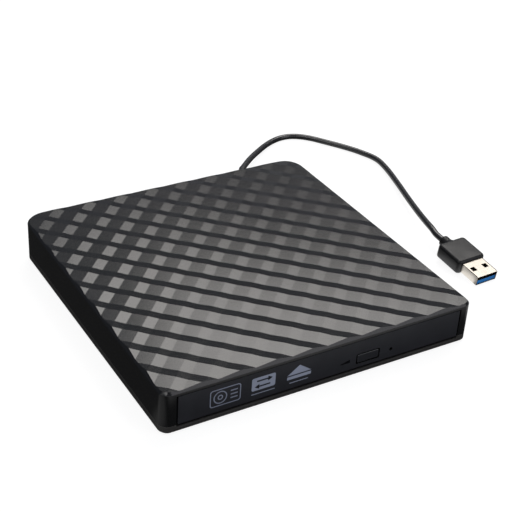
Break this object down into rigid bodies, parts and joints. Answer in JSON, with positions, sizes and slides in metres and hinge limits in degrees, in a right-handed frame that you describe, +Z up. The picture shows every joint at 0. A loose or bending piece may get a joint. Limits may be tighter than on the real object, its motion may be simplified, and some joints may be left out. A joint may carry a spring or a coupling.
{
  "type": "external disc drive",
  "caption": "Flat square external disc drive with a faceted check-pattern top, sliding disc tray with eject button and captive cord with a plug.",
  "frame": {"origin": "under the middle of the case, on the plane the rubber feet stand on", "axes": "+Z up, -Y towards the front panel, +X to the right seen from the front"},
  "size_m": [0.2045, 0.1979, 0.0196],
  "materials": {
    "case_plastic": "satin black with a faceted top",
    "base_plastic": "satin black",
    "panel_plastic": "satin black",
    "tray_plastic": "satin black",
    "rubber": "soft matt",
    "sheet_steel": "zinc plated",
    "screw_steel": "plated",
    "nickel": "bright plated",
    "brass": "plain",
    "board": "solder mask",
    "chip": "matt",
    "white_plastic": "natural",
    "blue_plastic": "satin",
    "clear_plastic": "clear",
    "lens_plastic": "coated",
    "rotor_steel": "dark satin",
    "dark_plastic": "satin"
  },
  "bodies": {
    "case": {"top_cover": "case_plastic", "base_cover": "base_plastic", "rubber_feet": "rubber", "case_screws": "screw_steel", "drive_screws": "screw_steel", "drive_pan": "sheet_steel", "drive_lid": "sheet_steel", "lid_screws": "screw_steel", "left_guide": "white_plastic", "right_guide": "white_plastic", "main_board": "board", "drive_chips": "chip", "drive_connector": "dark_plastic", "flat_cable": "white_plastic", "latch_post": "screw_steel", "eject_housing": "white_plastic", "eject_spring": "screw_steel", "bridge_board": "board", "bridge_chips": "chip", "bridge_connector": "dark_plastic", "bridge_screws": "screw_steel", "cord_connector": "white_plastic", "strain_relief": "rubber", "cord": "rubber", "plug_grip": "dark_plastic", "plug_shell": "nickel", "plug_tongue": "blue_plastic", "plug_contacts": "brass"},
    "rails": {"left_rail": "sheet_steel", "right_rail": "sheet_steel"},
    "tray": {"tray": "tray_plastic", "bezel": "panel_plastic", "light_window": "clear_plastic", "light_source": "clear_plastic", "tray_board": "board", "push_switch": "chip", "traverse_frame": "sheet_steel", "traverse_cover": "sheet_steel", "spindle_motor": "sheet_steel", "guide_rods": "screw_steel", "sled_motor": "sheet_steel", "solenoid": "brass", "rubber_bushes": "rubber", "traverse_screws": "screw_steel", "latch_pivot": "screw_steel"},
    "button": {"eject_button": "panel_plastic", "switch_plunger": "white_plastic"},
    "hub": {"turntable": "rotor_steel", "turntable_ring": "rubber", "hub": "dark_plastic", "hub_cap": "sheet_steel", "hub_balls": "screw_steel"},
    "sled": {"sled": "dark_plastic", "focus_magnets": "screw_steel"},
    "lens": {"lens_holder": "dark_plastic", "lens": "lens_plastic"},
    "screw": {"lead_screw": "brass"},
    "latch": {"latch_lever": "white_plastic"},
    "plunger": {"eject_plunger": "screw_steel"}
  },
  "joints": [
    {"name": "tray_slide", "type": "slide", "parent": "case", "child": "tray", "axis": [0, -1, 0], "range_m": [0, 0.127], "deforming": ["flat_cable"]},
    {"name": "rails_slide", "type": "slide", "parent": "case", "child": "rails", "axis": [0, -1, 0], "range_m": [0, 0.0635]},
    {"name": "button_press", "type": "slide", "parent": "tray", "child": "button", "axis": [0, 1, 0], "range_m": [0, 0.0005], "stiffness_N_per_m": 600},
    {"name": "hub_spin", "type": "hinge", "parent": "tray", "child": "hub", "pos_m": [0, -0.008, 0.0121], "axis": [0, 0, 1], "continuous": true},
    {"name": "sled_slide", "type": "slide", "parent": "tray", "child": "sled", "axis": [-0.7071, -0.7071, 0], "range_m": [0, 0.0315]},
    {"name": "screw_spin", "type": "hinge", "parent": "tray", "child": "screw", "pos_m": [-0.01018, -0.04024, 0.0077], "axis": [-0.7071, -0.7071, 0], "range_deg": [-3781, 0]},
    {"name": "lens_focus", "type": "slide", "parent": "sled", "child": "lens", "axis": [0, 0, 1], "range_m": [-0.0004, 0.0004], "stiffness_N_per_m": 100},
    {"name": "latch_swing", "type": "hinge", "parent": "tray", "child": "latch", "pos_m": [0.028, -0.046, 0.0081], "axis": [0, 0, 1], "range_deg": [-8, 0]},
    {"name": "plunger_slide", "type": "slide", "parent": "case", "child": "plunger", "axis": [0, -1, 0], "range_m": [0, 0.0071], "deforming": ["eject_spring"]}
  ],
  "couplings": [
    {"joint": "rails_slide", "follows": "tray_slide", "ratio": 0.5},
    {"joint": "plunger_slide", "follows": "tray_slide", "ratio": 0.055},
    {"joint": "screw_spin", "follows": "sled_slide", "rad_per_m": -2094.4}
  ]
}
